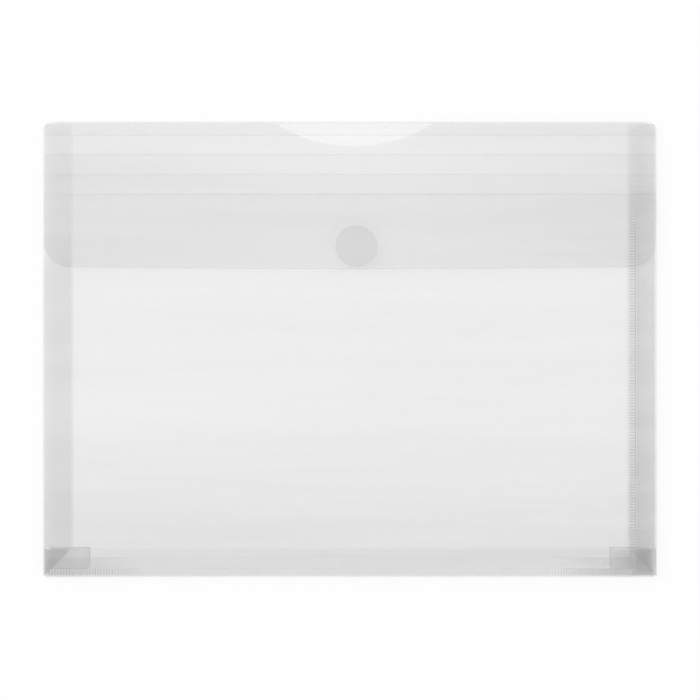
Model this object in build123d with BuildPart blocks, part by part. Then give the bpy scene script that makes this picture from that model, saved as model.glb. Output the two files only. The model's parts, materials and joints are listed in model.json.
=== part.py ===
from build123d import *
import os
from math import asin, cos, degrees, radians, sin, tan

# A4 document wallet of frosted polypropylene film, lying on its back with its flap closed.
# X runs across the wallet, Y from its bottom fold to its top fold, Z out of its front.
# The origin is under the middle, on the surface that the wallet lies on.
# All lengths are in millimetres and all angles in degrees.

os.makedirs("parts", exist_ok=True)

# The closed wallet
wallet_width = 330.0
wallet_height = 245.0
film = 0.25
pocket_depth = 5.0
corner_radius = 2.4

# Folds: a gusset fold is a rounded back, a score line of the flap is a finer one
fold_radius = 0.45
score_radius = 0.25
fold_clearance = 0.06
lay_gap = 0.06

# Gussets
leaf_width = 15.2
mitre_gap = 0.15
corner_relief = 0.55

# Thumb notch in the front panel's mouth
notch_chord = 84.0
notch_depth = 12.2
notch_lip_radius = 5.0
notch_offset = 2.2

# Flap, measured down from the top fold
flap_inset = 0.8
flap_clearance = 0.12
flap_slope = 2.0
first_score = 7.3
score_pitch = 10.5
score_count = 4
tongue_edge = 79.2
tongue_bow = 1.2
tongue_corner_radius = 14.0

# Toothed welds
weld_base = 0.10
weld_tooth_height = 0.08
weld_tooth_width = 0.8
weld_tooth_pitch = 1.55
bottom_weld_top = 4.55
side_weld_width = 3.4
side_weld_valley_gap = 1.25
weld_end_margin = 2.0

# Flange inside the bottom fold and the tucked corner tabs
flange_height = 10.2
flange_bow = 1.1
tab_length = 25.0
tab_bottom = 4.3
tab_top = 16.1
tab_corner_radius = 2.7

# Corners of the sheet folded double between the gusset leaves
pleat_valley_gap = 0.5
left_pleat_start = 1.25
right_pleat_start = 2.2
right_pleat_valley_gap = 4.35
right_pleat_bottom = 3.2

# Hook and loop dots
dot_diameter = 22.0
dot_drop = 66.9
dot_offset = 3.5
adhesive_inset = 0.4
adhesive_thickness = 0.08
tape_thickness = 0.35
pile_inset = 0.7
pile_edge_bevel = 0.12
hook_width = 0.55
hook_pitch = 1.7
hook_margin = 1.2
mated_gap = 0.1

half_width = wallet_width / 2
half_height = wallet_height / 2
half_film = film / 2
panel_inset = fold_radius + fold_clearance

# Fold lines of the gussets: the leaves stand at leaf_angle when the wallet is empty
side_fold_x = half_width - fold_radius
bottom_fold_y = -half_height + fold_radius
rear_fold_z = fold_radius
front_underside_z = film + pocket_depth
front_face_z = front_underside_z + film
front_fold_z = front_face_z - fold_radius
leaf_angle = degrees(asin((front_fold_z - rear_fold_z) / (2 * leaf_width)))
leaf_run = cos(radians(leaf_angle))
leaf_rise = sin(radians(leaf_angle))
valley_reach = leaf_width * leaf_run
valley_z = rear_fold_z + leaf_width * leaf_rise

# Fold line of the flap, and the heights of its score lines
top_fold_y = half_height - fold_radius
mouth_y = top_fold_y - panel_inset
flap_fold_z = front_face_z + flap_clearance + half_film
flap_half_width = half_width - flap_inset
slope_run = cos(radians(flap_slope))
slope_rise = sin(radians(flap_slope))
score_drops = [first_score + score_pitch * n for n in range(score_count)]
score_reaches = [(drop - fold_radius) / slope_run for drop in score_drops]
tongue_z = flap_fold_z + score_reaches[-1] * slope_rise
tongue_start_y = half_height - score_drops[-1]
dot_y = half_height - dot_drop


def clear_of_leaf(height):
    """How far in from its fold line a rear leaf clears something of this height on the back panel."""
    underside = rear_fold_z - half_film / leaf_run
    return (height + lay_gap - underside) / tan(radians(leaf_angle))


def leaf_plane(fold, inward, rise):
    """A leaf's middle plane: x runs from its fold line inward, z away from the panel that it folds on."""
    toward = Vector(*inward) * leaf_run + Vector(0, 0, rise * leaf_rise)
    along = Vector(0, 0, 1).cross(Vector(*inward))
    away = toward.cross(along) if rise > 0 else toward.cross(along) * -1
    return Plane(origin=fold, x_dir=toward, z_dir=away)


def finish(piece, name):
    piece.part.label = name
    export_step(piece.part, f"parts/{name}.step")


# Back panel: a plain sheet with rounded mouth corners
panel_half_width = side_fold_x - panel_inset
panel_bottom_y = bottom_fold_y + panel_inset
with BuildPart() as back_panel:
    with BuildSketch():
        with Locations((0, panel_bottom_y)):
            Rectangle(2 * panel_half_width, mouth_y - panel_bottom_y, align=(Align.CENTER, Align.MIN))
        fillet(vertices().group_by(Axis.Y)[-1], corner_radius)
    extrude(amount=film)
finish(back_panel, "back_panel")

# Front panel: the same sheet with the thumb notch cut into its mouth
notch_radius = notch_chord**2 / (8 * notch_depth) + notch_depth / 2
with BuildPart() as front_panel:
    with BuildSketch(Plane.XY.offset(front_underside_z)):
        with Locations((0, panel_bottom_y)):
            Rectangle(2 * panel_half_width, mouth_y - panel_bottom_y, align=(Align.CENTER, Align.MIN))
        fillet(vertices().group_by(Axis.Y)[-1], corner_radius)
        with Locations((notch_offset, mouth_y - notch_depth + notch_radius)):
            Circle(notch_radius, mode=Mode.SUBTRACT)
        lips = vertices().group_by(Axis.Y)[-1].sort_by(Axis.X)[1:-1]
        fillet(lips, notch_lip_radius)
    extrude(amount=film)
finish(front_panel, "front_panel")

# Side gussets: a rear leaf that folds on the back panel and carries the valley fold,
# and a front leaf that folds on the front panel. The lower ends are mitred.
leaf_root = panel_inset / leaf_run
half_valley_gap = fold_clearance / 2
leaf_top = mouth_y - bottom_fold_y
valley_start = valley_reach + corner_relief
for side_name, side in (("left", -1), ("right", 1)):
    inward = (-side, 0, 0)
    fold_x = side * side_fold_x
    valley_x = fold_x - side * valley_reach

    rear_plane = leaf_plane((fold_x, bottom_fold_y, rear_fold_z), inward, 1)
    with BuildPart() as rear_leaf:
        with BuildSketch(rear_plane):
            with BuildLine():
                Polyline(
                    (0, -side * corner_relief),
                    (0, -side * leaf_top),
                    (leaf_width, -side * leaf_top),
                    (leaf_width, -side * (valley_reach + mitre_gap)),
                    (corner_relief, -side * (corner_relief + mitre_gap)),
                    close=True,
                )
            make_face()
            fillet(vertices().sort_by_distance((0, -side * leaf_top))[0], corner_radius)
        extrude(amount=half_film, both=True)
        split(bisect_by=Plane.XY.offset(valley_z - half_valley_gap), keep=Keep.BOTTOM)
        with BuildSketch(Plane.XZ.offset(-(bottom_fold_y + corner_relief))):
            with Locations((fold_x, rear_fold_z)):
                Circle(fold_radius)
        extrude(amount=-(leaf_top - corner_relief - corner_radius))
        with BuildSketch(Plane.XZ.offset(-(bottom_fold_y + valley_start))):
            with Locations((valley_x, valley_z)):
                Circle(fold_radius)
        extrude(amount=-(leaf_top - valley_start))
    finish(rear_leaf, f"{side_name}_gusset_rear_leaf")

    front_plane = leaf_plane((fold_x, bottom_fold_y, front_fold_z), inward, -1)
    with BuildPart() as front_leaf:
        with BuildSketch(front_plane):
            with BuildLine():
                Polyline(
                    (0, side * corner_relief),
                    (0, side * leaf_top),
                    (leaf_width - leaf_root, side * leaf_top),
                    (leaf_width - leaf_root, side * (valley_reach + mitre_gap)),
                    (corner_relief, side * (corner_relief + mitre_gap)),
                    close=True,
                )
            make_face()
            fillet(vertices().sort_by_distance((0, side * leaf_top))[0], corner_radius)
        extrude(amount=half_film, both=True)
        split(bisect_by=Plane.XY.offset(valley_z + half_valley_gap), keep=Keep.TOP)
        with BuildSketch(Plane.XZ.offset(-(bottom_fold_y + corner_relief))):
            with Locations((fold_x, front_fold_z)):
                Circle(fold_radius)
        extrude(amount=-(leaf_top - corner_relief - corner_radius))
    finish(front_leaf, f"{side_name}_gusset_front_leaf")

# Bottom gusset: the same two leaves, mitred at both ends
bottom_root_half = side_fold_x - corner_relief
bottom_valley_half = side_fold_x - valley_reach
bottom_valley_y = bottom_fold_y + valley_reach
valley_bead_half = bottom_valley_half - corner_relief
bottom_rear_plane = leaf_plane((0, bottom_fold_y, rear_fold_z), (0, 1, 0), 1)
with BuildPart() as bottom_rear_leaf:
    with BuildSketch(bottom_rear_plane):
        with BuildLine():
            Polyline(
                (0, bottom_root_half),
                (corner_relief, bottom_root_half - mitre_gap),
                (leaf_width, bottom_valley_half - mitre_gap),
                (leaf_width, -bottom_valley_half + mitre_gap),
                (corner_relief, -bottom_root_half + mitre_gap),
                (0, -bottom_root_half),
                close=True,
            )
        make_face()
    extrude(amount=half_film, both=True)
    split(bisect_by=Plane.XY.offset(valley_z - half_valley_gap), keep=Keep.BOTTOM)
    with BuildSketch(Plane.YZ):
        with Locations((bottom_fold_y, rear_fold_z)):
            Circle(fold_radius)
    extrude(amount=bottom_root_half, both=True)
    with BuildSketch(Plane.YZ):
        with Locations((bottom_valley_y, valley_z)):
            Circle(fold_radius)
    extrude(amount=valley_bead_half, both=True)
finish(bottom_rear_leaf, "bottom_gusset_rear_leaf")

bottom_front_plane = leaf_plane((0, bottom_fold_y, front_fold_z), (0, 1, 0), -1)
with BuildPart() as bottom_front_leaf:
    with BuildSketch(bottom_front_plane):
        with BuildLine():
            Polyline(
                (0, bottom_root_half),
                (corner_relief, bottom_root_half - mitre_gap),
                (leaf_width - leaf_root, bottom_valley_half - mitre_gap),
                (leaf_width - leaf_root, -bottom_valley_half + mitre_gap),
                (corner_relief, -bottom_root_half + mitre_gap),
                (0, -bottom_root_half),
                close=True,
            )
        make_face()
    extrude(amount=half_film, both=True)
    split(bisect_by=Plane.XY.offset(valley_z + half_valley_gap), keep=Keep.TOP)
    with BuildSketch(Plane.YZ):
        with Locations((bottom_fold_y, front_fold_z)):
            Circle(fold_radius)
    extrude(amount=bottom_root_half, both=True)
finish(bottom_front_leaf, "bottom_gusset_front_leaf")

# Bottom weld: the sheet's end pressed onto the back panel in a row of teeth
weld_height = weld_base + weld_tooth_height
weld_bottom_y = bottom_fold_y + clear_of_leaf(film + weld_height)
weld_top_y = -half_height + bottom_weld_top
weld_half = side_fold_x - clear_of_leaf(film + weld_height)
weld_middle_y = (weld_bottom_y + weld_top_y) / 2
bottom_teeth = int((2 * weld_half - weld_tooth_width) / weld_tooth_pitch)
with BuildPart() as bottom_weld_seam:
    with BuildSketch(Plane.XY.offset(film)):
        with Locations((0, weld_middle_y)):
            Rectangle(2 * weld_half, weld_top_y - weld_bottom_y)
    extrude(amount=weld_base)
    with BuildSketch(Plane.XY.offset(film + weld_base)):
        with Locations((0, weld_middle_y)):
            with GridLocations(weld_tooth_pitch, weld_tooth_pitch, bottom_teeth, 1):
                Rectangle(weld_tooth_width, weld_top_y - weld_bottom_y)
    extrude(amount=weld_tooth_height)
finish(bottom_weld_seam, "bottom_weld_seam")

# Bottom flange: the loose part of that end above the weld, its free edge slightly bowed
flange_half = side_fold_x - clear_of_leaf(2 * film)
flange_end_y = -half_height + flange_height
with BuildPart() as bottom_flange:
    with BuildSketch(Plane.XY.offset(film)):
        with BuildLine():
            Polyline(
                (flange_half, flange_end_y),
                (flange_half, weld_top_y),
                (-flange_half, weld_top_y),
                (-flange_half, flange_end_y),
            )
            ThreePointArc(
                (-flange_half, flange_end_y),
                (0, flange_end_y + flange_bow),
                (flange_half, flange_end_y),
            )
        make_face()
    extrude(amount=film)
finish(bottom_flange, "bottom_flange")

# Corner tabs: the ends of the side gussets, tucked in over the flange
tab_outer = half_width - side_fold_x + clear_of_leaf(3 * film)
for side_name, side in (("left", -1), ("right", 1)):
    tab_start_x = side * (half_width - tab_outer)
    tab_end_x = side * (half_width - tab_length)
    with BuildPart() as corner_tab:
        with BuildSketch(Plane.XY.offset(2 * film)):
            with Locations(((tab_start_x + tab_end_x) / 2, -half_height + (tab_bottom + tab_top) / 2)):
                Rectangle(tab_length - tab_outer, tab_top - tab_bottom)
            inner_end = vertices().sort_by_distance((tab_end_x, -half_height + tab_bottom))[0]
            fillet(inner_end, tab_corner_radius)
        extrude(amount=film)
    finish(corner_tab, f"{side_name}_corner_tab")

# Corner pleats: the sheet folded double between the leaves of the side gussets,
# cut off along the mitre on the left and square on the right
pleat_limit = leaf_width - (3 * film * leaf_run + lay_gap) / (2 * leaf_rise)
pleat_top_reach = valley_reach - pleat_valley_gap
for half_name, fold_z, rise in (("rear", rear_fold_z, 1), ("front", front_fold_z, -1)):
    pleat_plane = leaf_plane((-side_fold_x, bottom_fold_y, fold_z), (1, 0, 0), rise)
    pleat_start = left_pleat_start - fold_radius
    with BuildPart() as left_pleat:
        with BuildSketch(pleat_plane.offset(half_film)):
            with BuildLine():
                Polyline(
                    (pleat_start, rise * pleat_top_reach),
                    (pleat_limit, rise * pleat_top_reach),
                    (pleat_limit, rise * (pleat_limit + mitre_gap)),
                    (pleat_start, rise * (pleat_start + mitre_gap)),
                    close=True,
                )
            make_face()
        extrude(amount=film)
    finish(left_pleat, f"left_corner_pleat_{half_name}")

    pleat_plane = leaf_plane((side_fold_x, bottom_fold_y, fold_z), (-1, 0, 0), rise)
    pleat_start = right_pleat_start - fold_radius
    pleat_end = leaf_width - right_pleat_valley_gap
    pleat_bottom_reach = right_pleat_bottom - fold_radius
    with BuildPart() as right_pleat:
        with BuildSketch(pleat_plane.offset(half_film)):
            with Locations(
                ((pleat_start + pleat_end) / 2, -rise * (pleat_bottom_reach + pleat_top_reach) / 2)
            ):
                Rectangle(pleat_end - pleat_start, pleat_top_reach - pleat_bottom_reach)
        extrude(amount=film)
    finish(right_pleat, f"right_corner_pleat_{half_name}")

# Side weld: the lap that closes the sheet, a row of teeth under the right rear leaf beside its valley
side_weld_end = leaf_width - side_weld_valley_gap
side_weld_start = side_weld_end - side_weld_width
side_weld_bottom = side_weld_end + mitre_gap
side_weld_top = leaf_top - weld_end_margin
side_weld_length = side_weld_top - side_weld_bottom
side_weld_centre = ((side_weld_start + side_weld_end) / 2, -(side_weld_bottom + side_weld_top) / 2)
side_teeth = int((side_weld_length - weld_tooth_width) / weld_tooth_pitch)
right_rear_plane = leaf_plane((side_fold_x, bottom_fold_y, rear_fold_z), (-1, 0, 0), 1)
with BuildPart() as side_weld_seam:
    with BuildSketch(right_rear_plane.offset(-half_film)):
        with Locations(side_weld_centre):
            Rectangle(side_weld_end - side_weld_start, side_weld_length)
    extrude(amount=-weld_base)
    with BuildSketch(right_rear_plane.offset(-half_film - weld_base)):
        with Locations(side_weld_centre):
            with GridLocations(weld_tooth_pitch, weld_tooth_pitch, 1, side_teeth):
                Rectangle(side_weld_end - side_weld_start, weld_tooth_width)
    extrude(amount=-weld_tooth_height)
finish(side_weld_seam, "side_weld_seam")

# Top fold of the flap: a low wall, bowed a little outwards, between two fold lines
top_fold_half = half_width - corner_radius
wall_bow = fold_radius - half_film
wall_start_z = rear_fold_z + fold_radius / 2
wall_end_z = flap_fold_z - score_radius / 2
wall_middle_z = (wall_start_z + wall_end_z) / 2
with BuildPart() as flap_top_fold:
    with BuildSketch(Plane.YZ):
        with BuildLine():
            ThreePointArc(
                (top_fold_y - half_film, wall_start_z),
                (top_fold_y - half_film + wall_bow, wall_middle_z),
                (top_fold_y - half_film, wall_end_z),
            )
            Line((top_fold_y - half_film, wall_end_z), (top_fold_y + half_film, wall_end_z))
            ThreePointArc(
                (top_fold_y + half_film, wall_end_z),
                (top_fold_y + half_film + wall_bow, wall_middle_z),
                (top_fold_y + half_film, wall_start_z),
            )
            Line((top_fold_y + half_film, wall_start_z), (top_fold_y - half_film, wall_start_z))
        make_face()
        with Locations((top_fold_y, rear_fold_z)):
            Circle(fold_radius)
        with Locations((top_fold_y, flap_fold_z)):
            Circle(score_radius)
    extrude(amount=top_fold_half, both=True)
finish(flap_top_fold, "flap_top_fold")

# Flap strips: four flat strips between score lines, each with its lower score line as a rounded ridge
flap_plane = Plane(
    origin=(0, top_fold_y, flap_fold_z), x_dir=(1, 0, 0), z_dir=(0, slope_rise, slope_run)
)
strip_start_gap = score_radius + fold_clearance
strip_starts = [0] + score_reaches[:-1]
for number, (start, end) in enumerate(zip(strip_starts, score_reaches), 1):
    strip_length = end - start - strip_start_gap
    with BuildPart() as flap_strip:
        with BuildSketch(flap_plane):
            with Locations((0, -end)):
                Rectangle(2 * flap_half_width, strip_length, align=(Align.CENTER, Align.MIN))
            if number == 1:
                fillet(vertices().group_by(Axis.Y)[-1], corner_radius)
        extrude(amount=half_film, both=True)
        with BuildSketch(Plane.YZ):
            with Locations((top_fold_y - end * slope_run, flap_fold_z + end * slope_rise)):
                Circle(score_radius)
        extrude(amount=flap_half_width, both=True)
    finish(flap_strip, f"flap_strip_{number}")

# Tongue: lies level over the dots, with large round corners and a slightly bowed edge
tongue_top_y = tongue_start_y - strip_start_gap
tongue_end_y = half_height - tongue_edge
with BuildPart() as flap_tongue:
    with BuildSketch(Plane.XY.offset(tongue_z)):
        with BuildLine():
            Polyline(
                (flap_half_width, tongue_end_y + tongue_bow),
                (flap_half_width, tongue_top_y),
                (-flap_half_width, tongue_top_y),
                (-flap_half_width, tongue_end_y + tongue_bow),
            )
            ThreePointArc(
                (-flap_half_width, tongue_end_y + tongue_bow),
                (0, tongue_end_y),
                (flap_half_width, tongue_end_y + tongue_bow),
            )
        make_face()
        fillet(vertices().group_by(Axis.Y)[0], tongue_corner_radius)
    extrude(amount=half_film, both=True)
finish(flap_tongue, "flap_tongue")

# Hook and loop dots, each on its adhesive pad: loops on the front panel, hooks under the tongue
dot_radius = dot_diameter / 2
tongue_underside_z = tongue_z - half_film
pile_room = tongue_underside_z - front_face_z - 2 * (adhesive_thickness + tape_thickness) - mated_gap
pile_height = pile_room / 2
loop_base_z = front_face_z + adhesive_thickness
hook_base_z = tongue_underside_z - adhesive_thickness
for pad_name, pad_z in (("loop_adhesive", front_face_z), ("hook_adhesive", hook_base_z)):
    with BuildPart() as adhesive:
        with BuildSketch(Plane.XY.offset(pad_z)):
            with Locations((dot_offset, dot_y)):
                Circle(dot_radius - adhesive_inset)
        extrude(amount=adhesive_thickness)
    finish(adhesive, pad_name)

with BuildPart() as loop_disc:
    with BuildSketch(Plane.XY.offset(loop_base_z)):
        with Locations((dot_offset, dot_y)):
            Circle(dot_radius)
    extrude(amount=tape_thickness)
    with BuildSketch(Plane.XY.offset(loop_base_z + tape_thickness)):
        with Locations((dot_offset, dot_y)):
            Circle(dot_radius - pile_inset)
    extrude(amount=pile_height)
    chamfer(edges().group_by(Axis.Z)[-1], pile_edge_bevel)
finish(loop_disc, "loop_disc")

hook_field_radius = dot_radius - hook_margin
hook_rows = int(hook_field_radius / hook_pitch)
hook_places = [
    (dot_offset + column * hook_pitch, dot_y + row * hook_pitch)
    for row in range(-hook_rows, hook_rows + 1)
    for column in range(-hook_rows, hook_rows + 1)
    if (column**2 + row**2) * hook_pitch**2 <= hook_field_radius**2
]
with BuildPart() as hook_disc:
    with BuildSketch(Plane.XY.offset(hook_base_z)):
        with Locations((dot_offset, dot_y)):
            Circle(dot_radius)
    extrude(amount=-tape_thickness)
    with BuildSketch(Plane.XY.offset(hook_base_z - tape_thickness)):
        with Locations(*hook_places):
            Rectangle(hook_width, hook_width)
    extrude(amount=-pile_height)
finish(hook_disc, "hook_disc")
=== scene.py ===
# %% [markdown]
# # A frosted document wallet
# The wallet is one sheet of see-through polypropylene, folded and welded, and closed by a hook and loop dot.
# Nearly everything that the eye sees is how many layers of film lie over each other: two in the middle,
# three under the flap, four at the gussets and more in the corners. So the lesson is about thin film:
# how to give it a body, a frosted finish and honest layers, instead of painting grey bands on a card.

import json
import math

import bmesh
import bpy
from mathutils import Matrix, Vector, noise

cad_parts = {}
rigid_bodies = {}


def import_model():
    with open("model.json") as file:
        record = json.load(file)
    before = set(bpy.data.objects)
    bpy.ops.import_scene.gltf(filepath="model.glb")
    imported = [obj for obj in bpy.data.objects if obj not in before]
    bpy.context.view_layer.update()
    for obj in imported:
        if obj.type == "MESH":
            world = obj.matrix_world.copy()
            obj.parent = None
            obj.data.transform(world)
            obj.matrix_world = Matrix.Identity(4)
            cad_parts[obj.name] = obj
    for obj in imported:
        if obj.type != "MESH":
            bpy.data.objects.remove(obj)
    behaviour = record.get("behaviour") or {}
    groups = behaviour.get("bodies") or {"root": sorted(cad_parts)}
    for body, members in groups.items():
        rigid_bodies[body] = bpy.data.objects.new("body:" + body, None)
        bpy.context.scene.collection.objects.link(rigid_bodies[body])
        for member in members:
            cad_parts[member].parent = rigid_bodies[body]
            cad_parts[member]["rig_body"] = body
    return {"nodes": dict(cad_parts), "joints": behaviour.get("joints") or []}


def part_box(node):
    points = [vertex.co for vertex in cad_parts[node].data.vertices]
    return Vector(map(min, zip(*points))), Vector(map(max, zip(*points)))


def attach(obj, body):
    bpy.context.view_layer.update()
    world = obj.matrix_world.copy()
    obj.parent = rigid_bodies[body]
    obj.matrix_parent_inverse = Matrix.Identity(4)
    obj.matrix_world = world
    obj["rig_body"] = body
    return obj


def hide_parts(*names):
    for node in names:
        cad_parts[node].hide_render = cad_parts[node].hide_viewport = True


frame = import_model()
nodes = frame["nodes"]
joints = {joint["name"]: Vector(joint["pos_m"]) for joint in frame["joints"]}
axes = {joint["name"]: Vector(joint["axis"]) for joint in frame["joints"]}
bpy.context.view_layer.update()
scene = bpy.context.scene
mm = 0.001

# %% [markdown]
# ## Sizes that the pieces share
# The folds are creases in the real sheet and joints in the frame. Their places could be typed in again, but
# they would go wrong if the part changed its size, so they are read from the frame. The film's thickness is
# the height of the back panel, and the dot's size is that of the disc of loops.

# %% Places of the folds and the dot
left_fold = joints["left_rear_fold"]
right_fold = joints["right_rear_fold"]
right_valley = joints["right_valley_fold"]
bottom_fold = joints["bottom_rear_fold"]
back_low, back_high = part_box("back_panel")
film_thickness = back_high[2] - back_low[2]
dot_low, dot_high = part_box("loop_disc")
dot_centre = Vector(((dot_low[0] + dot_high[0]) / 2, (dot_low[1] + dot_high[1]) / 2, 0))
dot_radius = (dot_high[0] - dot_low[0]) / 2
print("film", round(film_thickness / mm, 3), "mm, dot radius", round(dot_radius / mm, 2), "mm")

# %% [markdown]
# ## The frosted film
# Frosted film scatters a little of the light at each of its two faces and lets the rest through straight.
# A glass shader would bend the light at every layer. A Principled shader with a low Alpha scatters a share
# and passes the rest, so stacked sheets darken each other as real ones do.
# Seen at a slant, light goes further through the film, so it looks milkier there: the clear share is raised
# to the power of one over the cosine of the angle. One noise, stretched along the sheet, is the faint streaks
# that the extruder leaves. A fine one is the frosting, which drives the tones, the gloss and the bump too.


# %% Node helpers
def link(tree, source, target):
    tree.links.new(source, target)


def math_node(tree, operation, *values):
    """The result of a Math node whose inputs are numbers or other nodes' outputs."""
    node = tree.nodes.new("ShaderNodeMath")
    node.operation = operation
    for socket, value in zip(node.inputs, values):
        if isinstance(value, (int, float)):
            socket.default_value = value
        else:
            link(tree, value, socket)
    return node.outputs[0]


def stretched_noise(tree, coordinates, per_metre, detail):
    """A noise whose grains have different lengths along X, Y and Z."""
    mapping = tree.nodes.new("ShaderNodeMapping")
    mapping.inputs["Scale"].default_value = per_metre
    link(tree, coordinates, mapping.inputs["Vector"])
    texture = tree.nodes.new("ShaderNodeTexNoise")
    texture.inputs["Scale"].default_value = 1.0
    texture.inputs["Detail"].default_value = detail
    link(tree, mapping.outputs["Vector"], texture.inputs["Vector"])
    return texture.outputs["Fac"]


# %% A surface with grain
def new_surface(name):
    """A new material, its node tree and its Object coordinates."""
    material = bpy.data.materials.new(name)
    material.use_nodes = True
    tree = material.node_tree
    return material, tree, tree.nodes.new("ShaderNodeTexCoord").outputs["Object"]


def grain_surface(tree, grain, dark, light, smoothest, rough_spread, bump_strength, bump_depth):
    """Sets the colour, roughness and bump of a Principled shader from one noise."""
    shader = tree.nodes["Principled BSDF"]
    tones = tree.nodes.new("ShaderNodeMix")
    tones.data_type = "RGBA"
    link(tree, grain, tones.inputs["Factor"])
    tones.inputs["A"].default_value = (*dark, 1)
    tones.inputs["B"].default_value = (*light, 1)
    link(tree, tones.outputs["Result"], shader.inputs["Base Color"])
    roughness = math_node(tree, "MULTIPLY_ADD", grain, rough_spread, smoothest)
    link(tree, roughness, shader.inputs["Roughness"])
    bump = tree.nodes.new("ShaderNodeBump")
    bump.inputs["Strength"].default_value = bump_strength
    bump.inputs["Distance"].default_value = bump_depth
    link(tree, grain, bump.inputs["Height"])
    link(tree, bump.outputs["Normal"], shader.inputs["Normal"])


# %% Fading and slant
least_cosine = 0.3


def fading(tree, place, axis, first, first_share, last, last_share):
    """A share that changes from one place along an axis to another, and stays the same beyond them."""
    parts = tree.nodes.new("ShaderNodeSeparateXYZ")
    link(tree, place, parts.inputs[0])
    change = tree.nodes.new("ShaderNodeMapRange")
    link(tree, parts.outputs[axis], change.inputs["Value"])
    change.inputs["From Min"].default_value = first
    change.inputs["From Max"].default_value = last
    change.inputs["To Min"].default_value = first_share
    change.inputs["To Max"].default_value = last_share
    return change.outputs[0]


def slanted(tree, faced):
    """How opaque film looks at the angle it is seen at, from its opacity seen square on."""
    slant = tree.nodes.new("ShaderNodeLayerWeight")
    slant.inputs["Blend"].default_value = 0.5
    cosine = math_node(tree, "SUBTRACT", 1.0, slant.outputs["Facing"])
    path_length = math_node(tree, "DIVIDE", 1.0, math_node(tree, "MAXIMUM", cosine, least_cosine))
    clear = math_node(tree, "POWER", math_node(tree, "SUBTRACT", 1.0, faced), path_length)
    return math_node(tree, "SUBTRACT", 1.0, clear)


# %% Film finish
plain_streak = 0.25
plain_streaks = (5, 70, 70)
streak_detail = 2.0
frosting_detail = 1.0
frosting_per_metre = 1900
frosting_contrast = 0.16
dark_shares = (0.9, 0.91, 0.92)
light_share = 1.1
film_smoothest = 0.3
film_rough_spread = 0.2
film_bump = 0.15
film_bump_depth = 0.03 * mm
film_refraction = 1.49


def film_finish(name, opacity, grey, streak=plain_streak, streaks_per_metre=plain_streaks, fades=()):
    """Frosted film. opacity is one face's share of scattered light, and each of the fades scales it."""
    material, tree, place = new_surface(name)
    streaks = stretched_noise(tree, place, streaks_per_metre, streak_detail)
    frosting = stretched_noise(tree, place, (frosting_per_metre,) * 3, frosting_detail)
    uneven = math_node(tree, "MULTIPLY_ADD", streaks, 2 * streak, 1 - streak)
    grainy = math_node(tree, "MULTIPLY_ADD", frosting, frosting_contrast, 1 - frosting_contrast / 2)
    faced = math_node(tree, "MULTIPLY", math_node(tree, "MULTIPLY", uneven, opacity), grainy)
    for change in fades:
        faced = math_node(tree, "MULTIPLY", faced, fading(tree, place, *change))
    shader = tree.nodes["Principled BSDF"]
    link(tree, slanted(tree, faced), shader.inputs["Alpha"])
    shader.inputs["IOR"].default_value = film_refraction
    dark = [grey * share for share in dark_shares]
    light = [grey * light_share] * 3
    grain_surface(tree, frosting, dark, light, film_smoothest, film_rough_spread, film_bump, film_bump_depth)
    return material


# %% [markdown]
# ## Clearness that changes along a sheet
# Film looks clearer where it lies close on what is behind it, and milkier where it stands off. The photo
# shows that as slow changes of tone. The gaps that cause them are too small for a mesh to show, so the finish
# itself fades between two places along an axis. Several fades of one finish multiply each other. Some fades
# are painted shade instead: the front panel's towards the bottom and the flange's towards its ends.


# %% Fades
def fade(axis, start, start_share, end, end_share):
    """A fade along an axis: a place in millimetres and the opacity's share there, and the same at its end."""
    return axis, start * mm, start_share, end * mm, end_share


def towards_ends(share, middle, end):
    """Two fades from the full opacity in the wallet's middle to a share of it at the left and right ends."""
    return [fade("X", -end, share, -middle, 1.0), fade("X", middle, 1.0, end, share)]


film = {}

# %% [markdown]
# ## Sheets with a cut edge
# The panels, tabs and pleats are flat plates in the frame. A plate seen square on shows no edge at all,
# while a real cut edge catches light and draws a fine line. A bevel of the right size would be too small to
# see. So each plate is copied, its flat faces become single polygons, and these are inset by the width of the
# cut: the ring that this leaves gets the edge's finish. Large sheets are also cut into a grid, so that they
# can lie a little uneven, as film does.

# %% Meshes and pieces
crease_angle = math.radians(35)
merge_distance = 1e-7


def copy_of(node):
    """A node's mesh to work on, with its double vertices merged."""
    bm = bmesh.new()
    bm.from_mesh(nodes[node].data)
    bmesh.ops.remove_doubles(bm, verts=bm.verts, dist=merge_distance)
    return bm


def mesh_from(bm, name, *finishes):
    """A mesh made from bm, which is freed, with finishes in the order of the faces' indices."""
    mesh = bpy.data.meshes.new(name)
    bm.to_mesh(mesh)
    bm.free()
    for finish in finishes:
        mesh.materials.append(finish)
    return mesh


def add_piece(name, mesh, body, node=None):
    """Adds a mesh as a piece that rides on a body and stands for a node of the frame, if one is given."""
    piece = bpy.data.objects.new(name, mesh)
    scene.collection.objects.link(piece)
    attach(piece, body)
    if node:
        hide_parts(node)
    print(name, len(mesh.polygons), "faces")


# %% Cut edges and cells
cut_width = 0.3 * mm
level_cosine = 0.999


def ring_edges(bm):
    """Joins each flat side into one face and insets it. All but the inner faces get the second finish."""
    upright = max(bm.faces, key=lambda face: face.calc_area()).normal.copy()
    flats = []
    for sign in (1, -1):
        level = [face for face in bm.faces if face.normal.dot(upright) * sign > level_cosine]
        flats += bmesh.ops.dissolve_faces(bm, faces=level)["region"]
    for flat in flats:
        bmesh.ops.inset_region(bm, faces=[flat], thickness=cut_width, use_even_offset=True)
    for face in bm.faces:
        if face not in flats:
            face.material_index = 1


def cut_into_cells(bm, node, cells):
    """Cuts a sheet along X and Y into cells of about the given size."""
    low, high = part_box(node)
    for axis in (0, 1):
        direction = Vector((axis == 0, axis == 1, 0))
        extent = high[axis] - low[axis]
        count = max(1, round(extent / cells))
        for step in range(1, count):
            place = direction * (low[axis] + extent * step / count)
            everything = bm.verts[:] + bm.edges[:] + bm.faces[:]
            bmesh.ops.bisect_plane(
                bm, geom=everything, plane_co=place, plane_no=direction, dist=merge_distance)


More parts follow.
